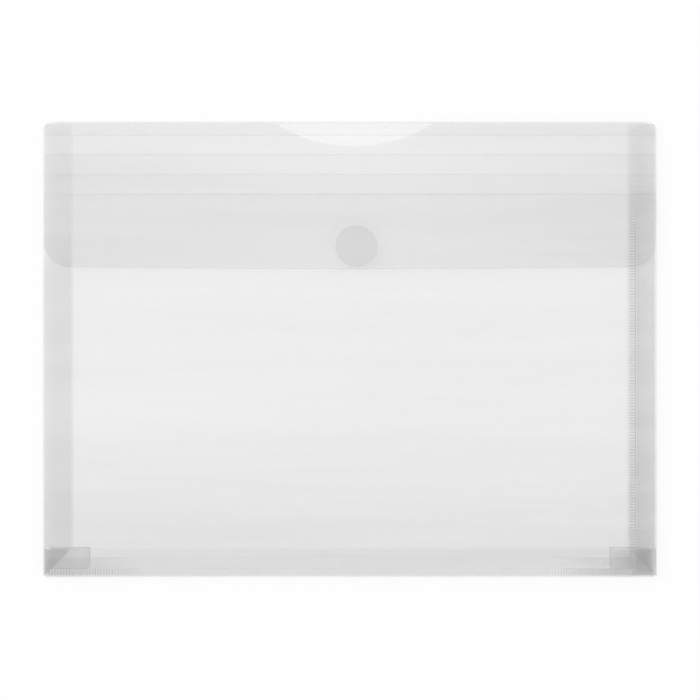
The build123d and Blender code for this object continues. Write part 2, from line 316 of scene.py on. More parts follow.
# %% A sheet of film
def film_sheet(name, node, finish, edge=None, cells=None, lift=None):
    """A copy of a flat plate with a ring of cut edge, cut into cells and lifted by lift(x, y)."""
    bm = copy_of(node)
    ring_edges(bm)
    if cells:
        cut_into_cells(bm, node, cells)
    if lift:
        for vertex in bm.verts:
            vertex.co.z += lift(vertex.co.x, vertex.co.y)
    bmesh.ops.recalc_face_normals(bm, faces=bm.faces)
    mesh = mesh_from(bm, name, finish, edge or finish)
    mesh.shade_smooth()
    mesh.set_sharp_from_angle(angle=crease_angle)
    add_piece(name, mesh, nodes[node]["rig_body"], node)


# %% [markdown]
# ## The two panels
# The back lies flat on the table and the front is held by its folds, so only its middle can swell a little.
# A cloth simulation could find such a swell. A smooth noise that fades out towards the folds and under the
# flap, where there is no room for it, is simpler and gives the same soft lights in each run.
# The front's finish grows denser towards the bottom, so the window darkens there: that is painted shade,
# where the light falls off.

# %% Panel finishes
film_grey = 0.6
film["front panel"] = film_finish("frosted front panel with painted shade", opacity=0.11, grey=film_grey, fades=[
    fade("Y", 5, 1.09, 40, 1.0),
    # Denser towards the bottom: painted shade.
    fade("Y", -106, 1.84, -40, 1.0),
])
film["back panel"] = film_finish("frosted back panel", opacity=0.04, grey=film_grey)
print("panel finishes:", ", ".join(film))

# %% Front and back panels
swell = 0.35 * mm
swell_fade = 45 * mm
waves_along_x = 7
waves_along_y = 11
wave_layer = 0.3
wave_level = 0.6
panel_cells = 11 * mm
flap_edge_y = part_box("flap_tongue")[0][1]


def smooth_step(value):
    """0 below 0, 1 above 1, and an even rise between them."""
    value = min(max(value, 0.0), 1.0)
    return value * value * (3 - 2 * value)


def panel_swell(x, y):
    """How far the front panel's film is lifted at a place."""
    inside = min(x - left_fold.x, right_fold.x - x, y - bottom_fold.y, flap_edge_y - y)
    waves = noise.noise(Vector((x * waves_along_x, y * waves_along_y, wave_layer))) + wave_level
    return swell * waves * smooth_step(inside / swell_fade)


film_sheet("front_film", "front_panel", film["front panel"], cells=panel_cells, lift=panel_swell)
film_sheet("back_film", "back_panel", film["back panel"])

# %% [markdown]
# ## Flange, corner tabs and pleats
# The flange inside the bottom fold, the tabs in the lower corners and the pleats between the gusset leaves
# are the same film, tucked in and pressed. Most layers meet here, and the corners are the darkest part. One
# finish for all of it would be plainer, but the sheets don't look alike: the flange is nearly clear in the
# middle and darker at its ends, which is painted shade of the corners, and the right corner is darker than
# the left. So each has its own finish.

# %% Flange finishes
edge_grey = 0.45
pressed_streak = 0.1
# From flange_clear outwards the flange grows denser towards both ends: painted shade of the corners.
flange_clear = 112
flange_shaded_end = 137
film["flange"] = film_finish(
    "frosted flange with painted corner shade", opacity=0.008, grey=film_grey, fades=towards_ends(14.0, flange_clear, flange_shaded_end))
film["flange edge"] = film_finish(
    "cut flange edge with painted corner shade", opacity=0.055, grey=edge_grey, streak=pressed_streak,
    fades=towards_ends(2.0, flange_clear, flange_shaded_end))
print("flange finishes:", film["flange"].name, "and", film["flange edge"].name)

# %% Corner finishes
tab_grey = 0.32
corner_grey = 0.22
film["left tab"] = film_finish("frosted left tab", opacity=0.14, grey=tab_grey, fades=[
    fade("X", -156, 1.45, -147, 1.0),
])
film["right tab"] = film_finish("frosted right tab", opacity=0.22, grey=tab_grey, fades=[
    fade("X", 141, 0.57, 152, 1.38),
    fade("X", 154, 1.0, 155, 0.78),
    fade("Y", -112.5, 1.0, -107, 0.4),
])
film["tab edge"] = film_finish("cut tab edge", opacity=0.1, grey=corner_grey, streak=pressed_streak, fades=[
    fade("X", -144, 1.0, -142, 1.9),
    fade("X", 142, 1.9, 144, 1.0),
])
film["left pleat"] = film_finish("frosted left pleat", opacity=0.09, grey=corner_grey, fades=[
    fade("X", -161.6, 1.7, -161, 1.0),
])
film["right pleat"] = film_finish("frosted right pleat", opacity=0.115, grey=corner_grey, fades=[
    fade("X", 153.5, 0.6, 157, 1.0),
    fade("Y", -119, 0.5, -115.5, 1.0),
])
print("film finishes so far:", len(film))

# %% Flange, tabs and pleats
film_sheet("flange_film", "bottom_flange", film["flange"], film["flange edge"])
for side in ("left", "right"):
    film_sheet(f"{side}_tab_film", f"{side}_corner_tab", film[f"{side} tab"], film["tab edge"])
    for half in ("rear", "front"):
        film_sheet(f"{side}_pleat_{half}_film", f"{side}_corner_pleat_{half}", film[f"{side} pleat"])

# %% [markdown]
# ## The tongue
# The flap's tongue is held up by the dot and droops a little towards its free corners, because film has
# weight. A simulation could bend it. Two smooth steps do as well, one aside from the dot and one down from
# the last score line, which stays straight. The bowed flap looks clearer in its middle than at its ends, so
# its finishes fade, and its cut edge is a fine grey line.

# %% Tongue finishes
bow_start = 25
bow_end = 150
film["tongue"] = film_finish(
    "frosted tongue", opacity=0.1, grey=film_grey, fades=towards_ends(1.4, bow_start, bow_end))
film["flap edge"] = film_finish("cut flap edge", opacity=0.19, grey=edge_grey, streak=pressed_streak)
print("tongue finishes:", film["tongue"].name, "and", film["flap edge"].name)

# %% Flap tongue
droop = 0.7 * mm
droop_span = 120 * mm
tongue_cells = 9 * mm
last_score = joints["tongue_lift"]
tongue_reach = last_score.y - flap_edge_y


def tongue_droop(x, y):
    """How far the tongue's film is lifted at a place: never above 0."""
    aside = smooth_step((abs(x - dot_centre.x) - dot_radius) / droop_span)
    down = smooth_step((last_score.y - y) / tongue_reach)
    return -droop * aside * down


film_sheet("tongue_film", "flap_tongue", film["tongue"], film["flap edge"], tongue_cells, tongue_droop)

# %% [markdown]
# ## Gusset leaves with their folds
# A gusset leaf is a strip of the sheet with a rounded ridge along its folds, where the film was heated and
# pressed. A ridge could be a piece of its own, but in the real sheet it goes on into the leaf. So the leaf
# stays one mesh, and the faces around each hinge's axis get a finish of their own. Finishes change along the
# sides as the photo's bands do: clearer under the flap and milkier towards the lower corners. The right
# leaves get a greyer, denser finish than the left: that is painted shade, for they slope away from the light.

# %% Gusset finishes
# The welds' own grey, which on the right gusset is painted shade.
weld_and_shade_grey = 0.5
film["left gusset"] = film_finish("frosted gusset", opacity=0.085, grey=film_grey, fades=[
    fade("Y", 30, 1.0, 80, 0.5),
])
# The right gusset is greyer and denser than the left: painted shade of leaves that slope away from the light.
film["right gusset"] = film_finish("frosted right gusset with painted shade", opacity=0.109, grey=weld_and_shade_grey, fades=[
    fade("Y", -109, 1.3, -107, 1.0),
    fade("Y", -100, 1.25, -10, 1.0),
    fade("Y", 36, 1.0, 46, 0.9),
    fade("Y", 80, 1.0, 105, 0.6),
    fade("X", 157, 1.0, 164, 0.9),
    fade("X", 154, 0.6, 154.6, 1.0),
])
film["bottom gusset"] = film_finish("frosted bottom gusset", opacity=0.035, grey=film_grey, fades=[
    fade("Y", -118, 0.25, -117, 1.0),
])
print("film finishes so far:", len(film))

# %% Fold finishes
fold_grey = 0.65
corner_top = -107.5
corner_past = -106
film["left fold"] = film_finish(
    "folded left ridge", opacity=0.07, grey=fold_grey, streak=pressed_streak, fades=[
        fade("Y", corner_top, 3.0, corner_past, 1.0),
        fade("Y", 40, 1.0, 52, 0.45),
    ])
film["right fold"] = film_finish(
    "folded right ridge", opacity=0.035, grey=0.7, streak=pressed_streak, fades=[
        fade("Y", corner_top, 5.0, corner_past, 1.0),
    ])
film["bottom fold"] = film_finish(
    "folded bottom ridge", opacity=0.07, grey=fold_grey, streak=pressed_streak, fades=[
        *towards_ends(2.0, 120, 150),
        fade("Y", -115, 1.0, -112, 0.3),
    ])
print("film finishes so far:", len(film))

# %% Gusset leaves
fold_ridge = 0.48 * mm


def folded_sheet(name, node, finish, ridge, hinges, ridge_radius):
    """A copy of a folded piece whose faces near the axes of the hinges get the ridge's finish."""
    bm = copy_of(node)
    for face in bm.faces:
        middle = face.calc_center_median()
        for hinge in hinges:
            gap = middle - joints[hinge]
            run = axes[hinge]
            if (gap - run * gap.dot(run)).length < ridge_radius:
                face.material_index = 1
    mesh = mesh_from(bm, name, finish, ridge)
    mesh.set_sharp_from_angle(angle=crease_angle)
    for polygon in mesh.polygons:
        polygon.use_smooth = polygon.material_index == 1
    add_piece(name, mesh, nodes[node]["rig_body"], node)


valleys = {"left": "gusset_spread", "right": "right_valley_fold", "bottom": "bottom_valley_fold"}
for side, valley in valleys.items():
    folds = [f"{side}_rear_fold", valley]
    for half in ("rear", "front"):
        folded_sheet(f"{side}_{half}_leaf", f"{side}_gusset_{half}_leaf",
                     film[f"{side} gusset"], film[f"{side} fold"], folds, fold_ridge)

# %% [markdown]
# ## The top fold and the scored strips
# The flap hangs on the top fold, and score lines divide it into strips. A score is pressed hard into the film
# and draws a fine, dense line, so its ridge gets a finish of its own, as the folds do. One finish for the
# whole flap would hide that the strips lie nearer to the front panel towards the top, which shows as steps of
# tone. So each strip has its own clearness, and the first one also shows the fine streaks of the bend beside
# it.

# %% Flap finishes
top_streak = 0.45
top_streaks = (4, 900, 900)
film["top fold"] = film_finish(
    "frosted top fold", opacity=0.05, grey=0.75, streak=pressed_streak, fades=towards_ends(0.2, 158, 160))
film["score"] = film_finish("scored line", opacity=0.075, grey=edge_grey, streak=pressed_streak)
film["strip 1"] = film_finish(
    "frosted top strip", opacity=0.058, grey=film_grey, streak=top_streak, streaks_per_metre=top_streaks,
    fades=towards_ends(1.6, bow_start, bow_end))
film["strip 2"] = film_finish(
    "frosted second strip", opacity=0.018, grey=film_grey, fades=towards_ends(3.1, bow_start, bow_end))
film["strip 3"] = film_finish(
    "frosted third strip", opacity=0.04, grey=film_grey, fades=towards_ends(2.1, bow_start, bow_end))
film["strip 4"] = film_finish(
    "frosted fourth strip", opacity=0.056, grey=film_grey, fades=towards_ends(2.0, bow_start, bow_end))
print("film finishes so far:", len(film))

# %% Top fold and strips
score_ridge = 0.29 * mm
top_hinges = ["flap_open", "flap_wrap"]
scores = ["score_1_bend", "score_2_bend", "score_3_wrap", "tongue_lift"]
folded_sheet("top_fold", "flap_top_fold", film["top fold"], film["top fold"], top_hinges, fold_ridge)
for number in range(1, len(scores) + 1):
    folded_sheet(f"strip_{number}_film", f"flap_strip_{number}",
                 film[f"strip {number}"], film["score"], scores, score_ridge)

# %% [markdown]
# ## Toothed welds
# The sheet is closed by two welds, pressed by a toothed bar. A weld is a band with a row of equal teeth
# across it, a raised border on one edge and a row of short ticks. Each tooth could be modelled by hand, but
# repeating is work for Geometry Nodes: a line of points with one rounded ridge on each, and the bars joined
# to them. The tree works along its own X axis, and the finished mesh is then laid on its sheet.


# %% Geometry Nodes helpers
def new_tree(name, **inputs):
    """A node tree with one geometry output and the named inputs, and a dict of the inputs' identifiers."""
    tree = bpy.data.node_groups.new(name, "GeometryNodeTree")
    tree.interface.new_socket("Geometry", in_out="OUTPUT", socket_type="NodeSocketGeometry")
    sockets = {}
    for label, kind in inputs.items():
        socket = tree.interface.new_socket(label, in_out="INPUT", socket_type="NodeSocket" + kind)
        sockets[label] = socket.identifier
    tree.nodes.new("NodeGroupInput")
    tree.nodes.new("NodeGroupOutput")
    return tree, sockets


def add(tree, kind, **values):
    """A new node whose inputs are set to values or linked to other nodes' outputs."""
    node = tree.nodes.new(kind)
    for label, value in values.items():
        socket = node.inputs[label.replace("_", " ")]
        if isinstance(value, bpy.types.NodeSocket):
            link(tree, value, socket)
        else:
            socket.default_value = value
    return node


# %% Growing a piece
def grown(name, tree, sockets, values, place, body, node=None):
    """Runs a tree once, keeps its result as a plain mesh laid at place, and adds it as a piece."""
    carrier = bpy.data.objects.new(name + "_carrier", bpy.data.meshes.new(name + "_carrier"))
    scene.collection.objects.link(carrier)
    modifier = carrier.modifiers.new("grow", "NODES")
    modifier.node_group = tree
    for label, value in values.items():
        modifier[sockets[label]] = value
    evaluated = carrier.evaluated_get(bpy.context.evaluated_depsgraph_get())
    mesh = bpy.data.meshes.new_from_object(evaluated)
    bpy.data.objects.remove(carrier)
    mesh.name = name
    mesh.transform(place)
    add_piece(name, mesh, body, node)


# %% Parts of a weld
ridge_sides = 10


def weld_bar(tree, given, width, place):
    """A flat bar along X that stands on the XY plane, with its middle at Y = place."""
    half_base = math_node(tree, "MULTIPLY", given["Base"], 0.5)
    size = add(tree, "ShaderNodeCombineXYZ", X=given["Length"], Y=width, Z=given["Base"])
    centre = add(tree, "ShaderNodeCombineXYZ", Y=place, Z=half_base)
    block = add(tree, "GeometryNodeMeshCube", Size=size.outputs[0])
    return add(tree, "GeometryNodeTransform", Geometry=block.outputs["Mesh"], Translation=centre.outputs[0])


def ridge_row(tree, given, length, place, height):
    """A row along X of rounded ridges, which lie along Y and have their middles at Y = place, Z = height."""
    count = math_node(tree, "FLOOR", math_node(tree, "DIVIDE", given["Length"], given["Pitch"]))
    span = math_node(tree, "MULTIPLY", math_node(tree, "SUBTRACT", count, 1.0), given["Pitch"])
    row_start = math_node(tree, "MULTIPLY", span, -0.5)
    start = add(tree, "ShaderNodeCombineXYZ", X=row_start, Y=place, Z=height)
    step = add(tree, "ShaderNodeCombineXYZ", X=given["Pitch"])
    row = add(tree, "GeometryNodeMeshLine", Count=count, Start_Location=start.outputs[0],
              Offset=step.outputs[0])
    ridge = add(tree, "GeometryNodeMeshCylinder", Vertices=ridge_sides, Radius=0.5, Depth=1.0)
    thickness = math_node(tree, "MULTIPLY", given["Rise"], 2.0)
    size = add(tree, "ShaderNodeCombineXYZ", X=given["Ridge"], Y=thickness, Z=length)
    laid = add(tree, "GeometryNodeTransform", Geometry=ridge.outputs["Mesh"], Scale=size.outputs[0],
               Rotation=(math.pi / 2, 0, 0))
    copies = add(tree, "GeometryNodeInstanceOnPoints", Points=row.outputs["Mesh"], Instance=laid.outputs[0])
    return add(tree, "GeometryNodeRealizeInstances", Geometry=copies.outputs["Instances"])


# %% Weld tree
def weld_tree():
    """A band along X with a row of teeth across it, a raised border on its +Y edge and a row of ticks."""
    tree, sockets = new_tree(
        "toothed weld", Length="Float", Width="Float", Base="Float", Pitch="Float", Ridge="Float",
        Rise="Float", Border="Float", Tooth="Float", Tooth_Place="Float", Tick="Float", Tick_Place="Float",
        Tick_Base="Float", Ground_Finish="Material", Teeth_Finish="Material", Tick_Finish="Material",
        Border_Finish="Material",
    )
    given = tree.nodes["Group Input"].outputs
    band = weld_bar(tree, given, given["Width"], 0.0)
    border_room = math_node(tree, "SUBTRACT", given["Width"], given["Border"])
    border_place = math_node(tree, "MULTIPLY", border_room, 0.5)
    border_bar = weld_bar(tree, given, given["Border"], border_place)
    border_lift = add(tree, "ShaderNodeCombineXYZ", Z=given["Rise"])
    border = add(tree, "GeometryNodeTransform", Geometry=border_bar.outputs[0],
                 Translation=border_lift.outputs[0])
    teeth = ridge_row(tree, given, given["Tooth"], given["Tooth_Place"], given["Base"])
    ticks = ridge_row(tree, given, given["Tick"], given["Tick_Place"], given["Tick_Base"])
    whole = tree.nodes.new("GeometryNodeJoinGeometry")
    for part, kind in ((teeth, "Teeth"), (ticks, "Tick"), (border, "Border"), (band, "Ground")):
        finish = given[kind + "_Finish"]
        done = add(tree, "GeometryNodeSetMaterial", Geometry=part.outputs[0], Material=finish)
        link(tree, done.outputs[0], whole.inputs[0])
    link(tree, whole.outputs[0], tree.nodes["Group Output"].inputs[0])
    return tree, sockets


# %% Weld sizes
weld, weld_inputs = weld_tree()
weld_base = 0.1 * mm
tick_length = 0.8 * mm
tooth_margin = 0.1 * mm
weld_sizes = {"Base": weld_base, "Pitch": 1.55 * mm, "Ridge": 0.7 * mm, "Rise": 0.07 * mm,
              "Border": 0.4 * mm, "Tick": tick_length}
print("weld tree:", len(weld.nodes), "nodes,", len(weld_inputs), "inputs")

# %% [markdown]
# ## The bottom weld
# The bottom weld joins the flange to the back, just above the bottom fold. Its teeth fill the band up to the
# ticks on its inner edge. A bump map could draw the teeth, but in film this clear it is their extra thickness
# that shows, so they are solid. They are faint in the middle and plain towards both ends.

# %% Bottom weld finishes
teeth_grey = 0.3
film["bottom weld"] = film_finish(
    "pressed bottom weld", opacity=0.026, grey=weld_and_shade_grey, streak=pressed_streak, fades=[
        fade("X", -150, 6.5, -112, 1.0),
        fade("X", 112, 1.0, 154, 12.5),
        fade("X", 152, 1.0, 156, 1.2),
    ])
film["bottom teeth"] = film_finish(
    "raised bottom teeth", opacity=0.08, grey=teeth_grey, streak=pressed_streak, fades=[
        fade("X", -152, 3.7, -105, 1.0),
        fade("X", 105, 1.0, 152, 2.25),
    ])
film["bottom border"] = film_finish(
    "raised bottom border", opacity=0.02, grey=weld_and_shade_grey, streak=pressed_streak)
print("film finishes so far:", len(film))

# %% Lay the bottom weld
tick_gap = 0.4 * mm
fold_clearance = 0.52 * mm
bottom_low, bottom_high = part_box("bottom_weld_seam")
weld_foot = bottom_fold.y + fold_clearance
bottom_width = bottom_high[1] - weld_foot
bottom_middle = Vector((
    (bottom_low[0] + bottom_high[0]) / 2, (weld_foot + bottom_high[1]) / 2, bottom_low[2]))
tooth_low = tooth_margin - bottom_width / 2
tooth_high = bottom_width / 2 - tick_length - tick_gap
grown(
    "bottom_weld", weld, weld_inputs,
    {**weld_sizes, "Length": bottom_high[0] - bottom_low[0], "Width": bottom_width,
     "Tooth": tooth_high - tooth_low, "Tooth_Place": (tooth_low + tooth_high) / 2,
     "Tick_Place": (bottom_width - tick_length) / 2, "Tick_Base": weld_base,
     "Ground_Finish": film["bottom weld"], "Teeth_Finish": film["bottom teeth"],
     "Tick_Finish": film["bottom teeth"], "Border_Finish": film["bottom border"]},
    Matrix.Translation(bottom_middle), "back", "bottom_weld_seam",
)

# %% [markdown]
# ## The side weld and its lower end
# The side weld runs down under the right rear leaf, and the bar that pressed it went on over the tab in the
# corner. One long weld could not follow the leaf when the gusset opens and stay on the tab too. So the same
# tree makes two pieces: one is laid under the slanting leaf and rides on it, the other lies flat on the tab.

# %% Side weld finishes
teeth_clear_start = 70
teeth_clear_end = 86
film["side weld"] = film_finish("pressed side weld", opacity=0.01, grey=film_grey, streak=pressed_streak)
film["side teeth"] = film_finish(
    "raised side teeth", opacity=0.13, grey=teeth_grey, streak=pressed_streak, fades=[
        fade("Y", -75, 1.35, -45, 1.0),
        fade("Y", 38, 1.0, 46, 1.45),
        fade("Y", teeth_clear_start, 1.0, teeth_clear_end, 0.4),
    ])
film["side ticks"] = film_finish(
    "raised side ticks", opacity=0.07, grey=teeth_grey, streak=pressed_streak, fades=[
        fade("Y", teeth_clear_start, 1.0, teeth_clear_end, 0.4),
    ])
film["side border"] = film_finish(
    "raised side border", opacity=0.19, grey=teeth_grey, streak=pressed_streak, fades=[
        fade("Y", 66, 1.0, 84, 0.3),
    ])
film["corner teeth"] = film_finish(
    "raised corner teeth", opacity=0.3, grey=teeth_grey, streak=pressed_streak)
print("film finishes in all:", len(film))

# %% Lay the side weld
tick_apart = 1.2 * mm
leaf_way = (right_valley - right_fold).normalized()
seam_low, seam_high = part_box("side_weld_seam")
seam_width = (seam_high[0] - seam_low[0]) / abs(leaf_way.x)
seam_reach = (right_fold.x - (seam_low[0] + seam_high[0]) / 2) / abs(leaf_way.x)
along = Vector((0, 1, 0))
under = leaf_way.cross(along)
across = under.cross(along)
seam_middle = right_fold + leaf_way * seam_reach + under * film_thickness / 2
seam_middle.y = (seam_low[1] + seam_high[1]) / 2
seam_turn = Matrix((along, across, under)).transposed().to_4x4()
grown(
    "side_weld", weld, weld_inputs,
    {**weld_sizes, "Length": seam_high[1] - seam_low[1], "Width": seam_width,
     "Tooth": seam_width - 4 * tooth_margin, "Tooth_Place": 0.0,
     "Tick_Place": seam_width / 2 + tick_apart, "Tick_Base": 0.0,
     "Ground_Finish": film["side weld"], "Teeth_Finish": film["side teeth"],
     "Tick_Finish": film["side ticks"], "Border_Finish": film["side border"]},
    Matrix.Translation(seam_middle) @ seam_turn, "right_rear", "side_weld_seam",
)

# %% Lay the weld's lower end on the tab
corner_base = 0.08 * mm
corner_margin = 0.4 * mm
tab_low, tab_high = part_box("right_corner_tab")
corner_low = tab_low[1] + corner_margin
corner_high = min(tab_high[1], seam_low[1])
corner_width = seam_high[0] - seam_low[0]
corner_middle = Vector((
    (seam_low[0] + seam_high[0]) / 2, (corner_low + corner_high) / 2, tab_high[2]))
corner_way = Vector((-1, 0, 0))
corner_turn = Matrix((along, corner_way, along.cross(corner_way))).transposed().to_4x4()
grown(
    "corner_weld", weld, weld_inputs,
    {**weld_sizes, "Base": corner_base, "Length": corner_high - corner_low, "Width": corner_width,
     "Tooth": corner_width - 4 * tooth_margin, "Tooth_Place": 0.0,
     "Tick_Place": -corner_width / 2 - tick_apart, "Tick_Base": 0.0,
     "Ground_Finish": film["side weld"], "Teeth_Finish": film["corner teeth"],
     "Tick_Finish": film["side ticks"], "Border_Finish": film["corner teeth"]},
    Matrix.Translation(corner_middle) @ corner_turn, "back",
)

# %% [markdown]
# ## Tape and adhesive
# The dots are a soft pile of loops and a moulded tape of hooks, each stuck on by clear glue. All three are
# pale and seen through film, so a woven texture would be lost. One grain is enough: it is strong and rough
# for the pile, weaker for the hooks and nearly even for the glue.

# %% Tape finishes
tape_detail = 3.0
tape_rough_spread = 0.25
tape_bump_depth = 0.08 * mm


def tape_finish(name, colour, smoothest, grain_per_metre, bump, contrast):
    """An opaque surface with one grain, whose tones differ from the colour by the contrast."""
    material, tree, place = new_surface(name)
    grain = stretched_noise(tree, place, (grain_per_metre,) * 3, tape_detail)
    dark = [(1 - contrast) * channel for channel in colour]
    light = [min(1.0, (1 + contrast) * channel) for channel in colour]
    grain_surface(tree, grain, dark, light, smoothest, tape_rough_spread, bump, tape_bump_depth)
    return material


loop_finish = tape_finish(
    "loop pile", (0.72, 0.72, 0.71), smoothest=0.7, grain_per_metre=900, bump=0.5, contrast=0.16)
hook_finish = tape_finish(
    "hook tape", (0.7, 0.7, 0.7), smoothest=0.4, grain_per_metre=700, bump=0.3, contrast=0.1)
glue_finish = tape_finish(
    "clear adhesive", (0.78, 0.78, 0.775), smoothest=0.25, grain_per_metre=300, bump=0.1, contrast=0.03)
print("tape finishes:", loop_finish.name, "and", hook_finish.name, "and", glue_finish.name)

# %% [markdown]
# ## Adhesive pads
# Each dot sticks to the film with a thin pad. The pad could reach right to the film, as glue does, but two
# faces in exactly one plane would flicker. So it is a plain disc, and a hair's breadth is left on both of its
# sides.

# %% Adhesive pads
hair = 0.006 * mm
pad_share = 0.995
disc_sides = 96


def glue_pad(name, node):
    """A disc of glue in a node's place, a hair thinner than it on both sides."""
    low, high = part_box(node)
    middle = Matrix.Translation((dot_centre.x, dot_centre.y, (low[2] + high[2]) / 2))
    radius = dot_radius * pad_share
    bm = bmesh.new()
    bmesh.ops.create_cone(bm, cap_ends=True, segments=disc_sides, radius1=radius, radius2=radius,
                          depth=high[2] - low[2] - 2 * hair, matrix=middle)
    add_piece(name, mesh_from(bm, name, glue_finish), nodes[node]["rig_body"], node)


glue_pad("loop_glue", "loop_adhesive")
glue_pad("hook_glue", "hook_adhesive")

# %% [markdown]
# ## Hook and loop dots
# One dot carries a pile of soft loops and the other rows of tiny hooks. Both stand on a disc of tape.
# A bump map would do for a view from above, but the flap opens and shows the dots from the side. So Geometry
# Nodes grow real strands: points scattered over the disc with a fixed seed carry the loops, and a square
# grid, cut to a circle, carries the hooks.

# %% Loops
field_sides = 48
loop_sides = 9
loops_per_square_metre = 4.0e6
loop_radius_share = 0.78
loop_tilt = 0.5


def loop_strands(tree, given, field, top):
    """Points scattered over a round field, the curve of one loop and the loops' turns."""
    plate = add(tree, "GeometryNodeMeshCircle", Vertices=field_sides, Radius=field)
    plate.fill_type = "NGON"
    raised = add(tree, "GeometryNodeTransform", Geometry=plate.outputs[0], Translation=top)
    scatter = add(tree, "GeometryNodeDistributePointsOnFaces", Mesh=raised.outputs[0], Seed=given["Seed"])
    scatter.distribute_method = "POISSON"
    link(tree, given["Pitch"], scatter.inputs["Distance Min"])
    scatter.inputs["Density Max"].default_value = loops_per_square_metre
    radius = math_node(tree, "MULTIPLY", given["Rise"], loop_radius_share)
    ring = add(tree, "GeometryNodeCurvePrimitiveCircle", Resolution=loop_sides, Radius=radius)
    upright = add(tree, "GeometryNodeTransform", Geometry=ring.outputs[0], Rotation=(math.pi / 2, 0, 0))
    spin = tree.nodes.new("FunctionNodeRandomValue")
    spin.data_type = "FLOAT_VECTOR"
    spin.inputs["Min"].default_value = (-loop_tilt, -loop_tilt, 0)
    spin.inputs["Max"].default_value = (loop_tilt, loop_tilt, 2 * math.pi)
    link(tree, given["Seed"], spin.inputs["Seed"])
    return scatter.outputs["Points"], upright.outputs[0], spin.outputs[0]


# %% Hooks
hook_steps = 5
hook_shoulder_share = 1.25
hook_reach_share = 1.3
hook_tip_share = 0.45


def hook_strands(tree, given, field, top):
    """Points on a square grid cut to a round field, the curve of one hook, and no turns."""
    side = math_node(tree, "MULTIPLY", field, 2.0)
    per_side = math_node(tree, "DIVIDE", side, given["Pitch"])
    grid = add(tree, "GeometryNodeMeshGrid", Size_X=side, Size_Y=side, Vertices_X=per_side,
               Vertices_Y=per_side)
    position = tree.nodes.new("GeometryNodeInputPosition")
    distance = add(tree, "ShaderNodeVectorMath", Vector=position.outputs[0])
    distance.operation = "LENGTH"
    outside = math_node(tree, "GREATER_THAN", distance.outputs["Value"], field)
    round_grid = add(tree, "GeometryNodeDeleteGeometry", Geometry=grid.outputs["Mesh"], Selection=outside)
    raised = add(tree, "GeometryNodeTransform", Geometry=round_grid.outputs[0], Translation=top)
    shoulder_height = math_node(tree, "MULTIPLY", given["Rise"], hook_shoulder_share)
    shoulder = add(tree, "ShaderNodeCombineXYZ", Z=shoulder_height)
    tip_reach = math_node(tree, "MULTIPLY", given["Rise"], hook_reach_share)
    tip_height = math_node(tree, "MULTIPLY", given["Rise"], hook_tip_share)
    tip = add(tree, "ShaderNodeCombineXYZ", X=tip_reach, Z=tip_height)
    hook = add(tree, "GeometryNodeCurveQuadraticBezier", Resolution=hook_steps, Start=(0, 0, 0),
               Middle=shoulder.outputs[0], End=tip.outputs[0])
    return raised.outputs[0], hook.outputs[0], None


# %% Dot tree
field_share = 0.93
strand_sides = 5


def dot_tree(name, finish, strands, thickness_share, **more_inputs):
    """A disc of tape that stands on the XY plane, with the strands that the function strands gives."""
    tree, sockets = new_tree(name, Radius="Float", Tape="Float", Rise="Float", Pitch="Float", **more_inputs)
    given = tree.nodes["Group Input"].outputs
    disc = add(tree, "GeometryNodeMeshCylinder", Vertices=disc_sides, Radius=given["Radius"],
               Depth=given["Tape"])
    half = add(tree, "ShaderNodeCombineXYZ", Z=math_node(tree, "MULTIPLY", given["Tape"], 0.5))
    tape = add(tree, "GeometryNodeTransform", Geometry=disc.outputs["Mesh"], Translation=half.outputs[0])
    top = add(tree, "ShaderNodeCombineXYZ", Z=given["Tape"])
    field = math_node(tree, "MULTIPLY", given["Radius"], field_share)
    points, curve, turn = strands(tree, given, field, top.outputs[0])
    thickness = math_node(tree, "MULTIPLY", given["Rise"], thickness_share)
    profile = add(tree, "GeometryNodeCurvePrimitiveCircle", Resolution=strand_sides, Radius=thickness)
    strand = add(tree, "GeometryNodeCurveToMesh", Curve=curve, Profile_Curve=profile.outputs[0],
                 Fill_Caps=True)
    placed = add(tree, "GeometryNodeInstanceOnPoints", Points=points, Instance=strand.outputs[0])
    if turn:
        link(tree, turn, placed.inputs["Rotation"])
    solid = add(tree, "GeometryNodeRealizeInstances", Geometry=placed.outputs["Instances"])
    joined = tree.nodes.new("GeometryNodeJoinGeometry")
    link(tree, solid.outputs[0], joined.inputs[0])
    link(tree, tape.outputs[0], joined.inputs[0])
    done = add(tree, "GeometryNodeSetMaterial", Geometry=joined.outputs[0], Material=finish)
    link(tree, done.outputs[0], tree.nodes["Group Output"].inputs[0])
    return tree, sockets


# %% Place the dots
tape_thickness = 0.35 * mm
loop_pitch = 0.55 * mm
loop_thickness_share = 0.22
loop_seed = 7
hook_pitch = 1.1 * mm
hook_thickness_share = 0.34
hook_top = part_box("hook_disc")[1][2]
dot_sizes = {"Radius": dot_radius, "Tape": tape_thickness,
             "Rise": dot_high[2] - dot_low[2] - tape_thickness}
loops, loop_inputs = dot_tree("loop dot", loop_finish, loop_strands, loop_thickness_share, Seed="Int")
grown(
    "loop_dot", loops, loop_inputs, {**dot_sizes, "Pitch": loop_pitch, "Seed": loop_seed},
    Matrix.Translation((dot_centre.x, dot_centre.y, dot_low[2])), "front", "loop_disc",
)
hooks, hook_inputs = dot_tree("hook dot", hook_finish, hook_strands, hook_thickness_share)
grown(
    "hook_dot", hooks, hook_inputs, {**dot_sizes, "Pitch": hook_pitch},
    Matrix.Translation((dot_centre.x, dot_centre.y, hook_top)) @ Matrix.Rotation(math.pi, 4, "X"),
    "tongue", "hook_disc",
)

# %% [markdown]
# ## The table and the sky
# The wallet lies on a white table under an even sky. Light strong enough to make the table white would also
# wash out the film. So to the eye the table is nearly pure white, through Light Path, and a share of its lit
# surface stays in, so that the wallet's shadow shows.


# %% Table finish
def seen_share(tree):
    """1 for rays that show the table or the sky to the eye, 0 for rays that only carry light."""
    path = tree.nodes.new("ShaderNodeLightPath").outputs
    seen = math_node(tree, "MAXIMUM", path["Is Camera Ray"], path["Is Glossy Ray"])
    return math_node(tree, "MAXIMUM", seen, path["Is Transmission Ray"])


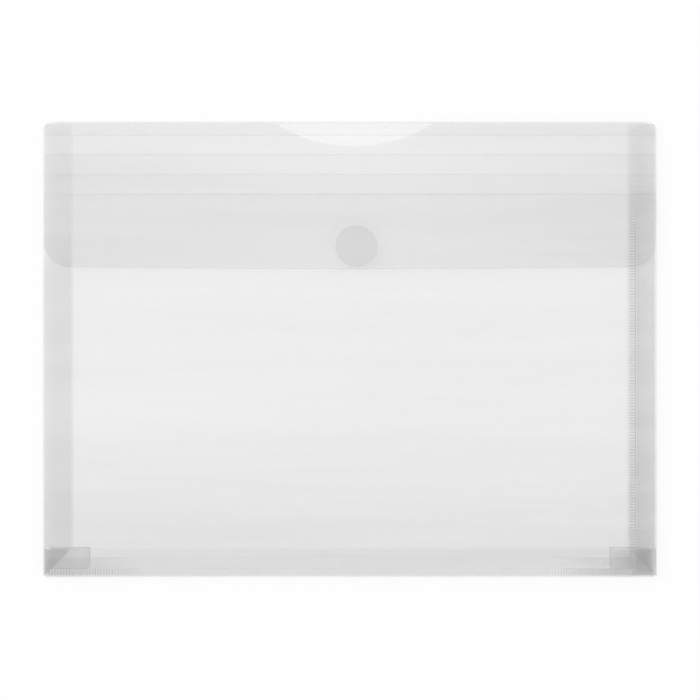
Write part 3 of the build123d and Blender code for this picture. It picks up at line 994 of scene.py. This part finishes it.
table_white_share = 0.8
table_finish = bpy.data.materials.new("white table")
table_finish.use_nodes = True
table_tree = table_finish.node_tree
table_shader = table_tree.nodes["Principled BSDF"]
table_shader.inputs["Base Color"].default_value = (0.96, 0.96, 0.96, 1)
table_shader.inputs["Roughness"].default_value = 0.9
table_shader.inputs["Specular IOR Level"].default_value = 0.0
table_glow = table_tree.nodes.new("ShaderNodeEmission")
table_mix = table_tree.nodes.new("ShaderNodeMixShader")
white_share = math_node(table_tree, "MULTIPLY", seen_share(table_tree), table_white_share)
link(table_tree, white_share, table_mix.inputs[0])
link(table_tree, table_shader.outputs[0], table_mix.inputs[1])
link(table_tree, table_glow.outputs[0], table_mix.inputs[2])
link(table_tree, table_mix.outputs[0], table_tree.nodes["Material Output"].inputs["Surface"])
print("table finish:", table_white_share, "pure white to the eye")

# %% Table
table_half = 4.0
table_drop = -0.2 * mm
table_corners = [(-table_half, -table_half), (table_half, -table_half),
                 (table_half, table_half), (-table_half, table_half)]
table_mesh = bpy.data.meshes.new("table")
table_mesh.from_pydata([(x, y, table_drop) for x, y in table_corners], [], [(0, 1, 2, 3)])
table_mesh.materials.append(table_finish)
table = bpy.data.objects.new("table", table_mesh)
scene.collection.objects.link(table)
print("table:", 2 * table_half, "m wide")

# %% Sky
sky_light = 0.64
sky = bpy.data.worlds.new("soft sky")
sky.use_nodes = True
scene.world = sky
sky_tree = sky.node_tree
sky_strength = math_node(sky_tree, "MULTIPLY_ADD", seen_share(sky_tree), 1 - sky_light, sky_light)
link(sky_tree, sky_strength, sky_tree.nodes["Background"].inputs["Strength"])
sky_tree.nodes["Background"].inputs["Color"].default_value = (1, 1, 1, 1)
print("sky: strength", sky_light, "as light, 1 to the eye")

# %% [markdown]
# ## Lamps
# A studio lights such a sheet with large soft boxes. Small lamps would draw hard shadows of every edge, so
# there are two wide area lamps that face the wallet: a key on the upper left and a weaker fill on the right.


# %% Lamps
def soft_lamp(name, place, size, power):
    """A square area lamp that faces the wallet's origin."""
    data = bpy.data.lights.new(name, "AREA")
    data.shape = "SQUARE"
    data.size = size
    data.energy = power
    lamp = bpy.data.objects.new(name, data)
    lamp.location = place
    lamp.rotation_euler = (-Vector(place)).to_track_quat("-Z", "Y").to_euler()
    scene.collection.objects.link(lamp)
    print(name, "lamp at", place, "with", power, "W")


soft_lamp("key", place=(-0.9, 0.7, 1.5), size=1.2, power=13.5)
soft_lamp("fill", place=(1.1, -0.6, 1.3), size=1.2, power=6.3)

# %% [markdown]
# ## The camera
# The photo looks straight down on the wallet. An orthographic camera would show no depth at all, so a lens
# far above it is used, and its length follows from the width that the picture shows at the front panel's
# height.

# %% Camera
view_width = 376.2 * mm
camera_height = 1.8
camera_aside = 0.08 * mm
camera_along = -0.19 * mm
front_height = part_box("front_panel")[1][2]
camera_data = bpy.data.cameras.new("camera")
camera_data.sensor_fit = "HORIZONTAL"
camera_data.sensor_width = 36.0
camera_data.lens = camera_data.sensor_width * (camera_height - front_height) / view_width
camera_data.clip_end = 50.0
camera = bpy.data.objects.new("camera", camera_data)
camera.location = (camera_aside, camera_along, camera_height)
scene.collection.objects.link(camera)
scene.camera = camera
print("camera: lens", round(camera_data.lens, 1), "mm,", camera_height, "m above the table")

# %% [markdown]
# ## Settings
# Colours stay as they are with the Standard view. A ray can cross two faces of each of many sheets, so
# more see-through bounces are allowed than usual.

# %% Settings and the closing lines
scene.view_settings.view_transform = "Standard"
scene.cycles.transparent_max_bounces = 48
